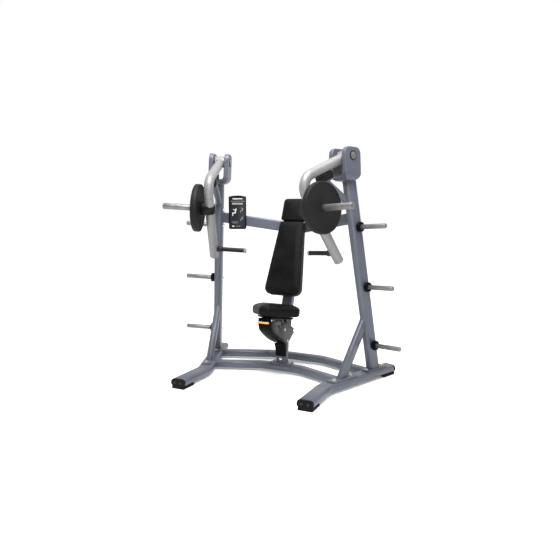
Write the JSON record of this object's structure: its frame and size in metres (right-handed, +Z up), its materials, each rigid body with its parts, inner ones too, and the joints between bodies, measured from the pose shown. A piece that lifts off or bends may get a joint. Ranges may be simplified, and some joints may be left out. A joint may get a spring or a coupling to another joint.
{
  "type": "plate-loaded seated press machine",
  "caption": "Seated press machine: two overhead-pivot plate-loaded arms on a steel tube frame, with an adjustable seat, leaning back rest, head pad and storage pegs.",
  "frame": {"origin": "middle of the machine's footprint, on the floor", "axes": "+X towards the side of the user's left hand, across the machine; -Y the way the user faces; +Z up"},
  "size_m": [2.0432, 1.1765, 1.8787],
  "materials": {
    "frame_paint": "slate blue-grey satin metallic powder coat",
    "arm_paint": "light silver-grey satin powder coat",
    "black_paint": "black satin powder coat",
    "steel": "zinc plated and brushed",
    "bronze": "sintered bronze",
    "rubber": "smooth matt black rubber",
    "black_plastic": "black moulded plastic",
    "side_plate": "dark grey satin paint",
    "vinyl": "black upholstery vinyl with a soft sheen",
    "amber": "amber yellow plastic",
    "placard": null
  },
  "bodies": {
    "frame": {"rail_right": "frame_paint", "rail_left": "frame_paint", "front_crossbar": "frame_paint", "rear_crossbar": "frame_paint", "rail_end_caps": "rubber", "foot_pads": "rubber", "base_plates": "frame_paint", "upright_right": "frame_paint", "upright_left": "frame_paint", "brace_right": "frame_paint", "brace_left": "frame_paint", "yoke_right": "frame_paint", "yoke_left": "frame_paint", "upper_crossbeam": "frame_paint", "stop_brackets": "frame_paint", "stop_bumpers": "rubber", "storage_pegs": "steel", "peg_collars": "rubber", "frame_bolts": "steel", "seat_tower": "frame_paint", "back_post": "frame_paint", "lower_shroud": "black_plastic", "pad_brackets": "frame_paint", "pad_boards": "black_plastic", "back_pad": "vinyl", "head_pad": "vinyl", "placard_frame": "black_plastic", "placard_panel": "placard", "pivot_pins": "steel", "pivot_caps": "steel", "link_bracket": "frame_paint", "link_ground_pins": "steel"},
    "arm_right": {"arm_tube_right": "arm_paint", "hub_bushes_right": "bronze", "arm_end_cap_right": "arm_paint", "horn_right": "steel", "horn_saddle_right": "black_plastic", "grip_rod_right": "black_paint", "grip_sleeve_right": "rubber", "grip_cap_right": "arm_paint"},
    "plate_right": {"weight_plate_right": "rubber"},
    "arm_left": {"arm_tube_left": "arm_paint", "hub_bushes_left": "bronze", "arm_end_cap_left": "arm_paint", "horn_left": "steel", "horn_saddle_left": "black_plastic", "grip_rod_left": "black_paint", "grip_sleeve_left": "rubber", "grip_cap_left": "arm_paint"},
    "plate_left": {"weight_plate_left": "rubber"},
    "upper_link": {"upper_link": "frame_paint"},
    "lower_link": {"lower_link": "frame_paint"},
    "seat": {"seat_pad": "vinyl", "seat_board": "black_plastic", "seat_side_plates": "side_plate", "seat_shroud": "black_plastic", "carriage_pins": "steel", "lever_shaft": "steel"},
    "lever": {"release_lever": "amber"}
  },
  "joints": [
    {"name": "arm_pivot_right", "type": "hinge", "parent": "frame", "child": "arm_right", "pos_m": [0.56284, 0.12532, 1.807], "axis": [-0.9289, 0.3659, -0.0576], "range_deg": [0, 50]},
    {"name": "arm_pivot_left", "type": "hinge", "parent": "frame", "child": "arm_left", "pos_m": [-0.56284, 0.12532, 1.807], "axis": [-0.9289, -0.3659, 0.0576], "range_deg": [0, 50]},
    {"name": "plate_slide_right", "type": "slide", "parent": "arm_right", "child": "plate_right", "axis": [0.9289, -0.3659, 0.0576], "range_m": [0, 0.32]},
    {"name": "plate_slide_left", "type": "slide", "parent": "arm_left", "child": "plate_left", "axis": [-0.9289, -0.3659, 0.0576], "range_m": [0, 0.32]},
    {"name": "seat_upper_link", "type": "hinge", "parent": "frame", "child": "upper_link", "pos_m": [0, 0.1534, 0.35], "axis": [1, 0, 0], "range_deg": [0, 45]},
    {"name": "seat_carriage", "type": "hinge", "parent": "upper_link", "child": "seat", "pos_m": [0, 0.06736, 0.47287], "axis": [1, 0, 0], "range_deg": [-45, 0]},
    {"name": "seat_lower_link", "type": "hinge", "parent": "frame", "child": "lower_link", "pos_m": [0, 0.1084, 0.312], "axis": [1, 0, 0], "range_deg": [0, 45]},
    {"name": "seat_release", "type": "hinge", "parent": "seat", "child": "lever", "pos_m": [0, -0.1126, 0.5], "axis": [-1, 0, 0], "range_deg": [0, 12], "stiffness_Nm_per_rad": 0.5, "springref_deg": -11.46}
  ],
  "couplings": [
    {"joint": "seat_carriage", "follows": "seat_upper_link", "ratio": -1},
    {"joint": "seat_lower_link", "follows": "seat_upper_link", "ratio": 1}
  ]
}
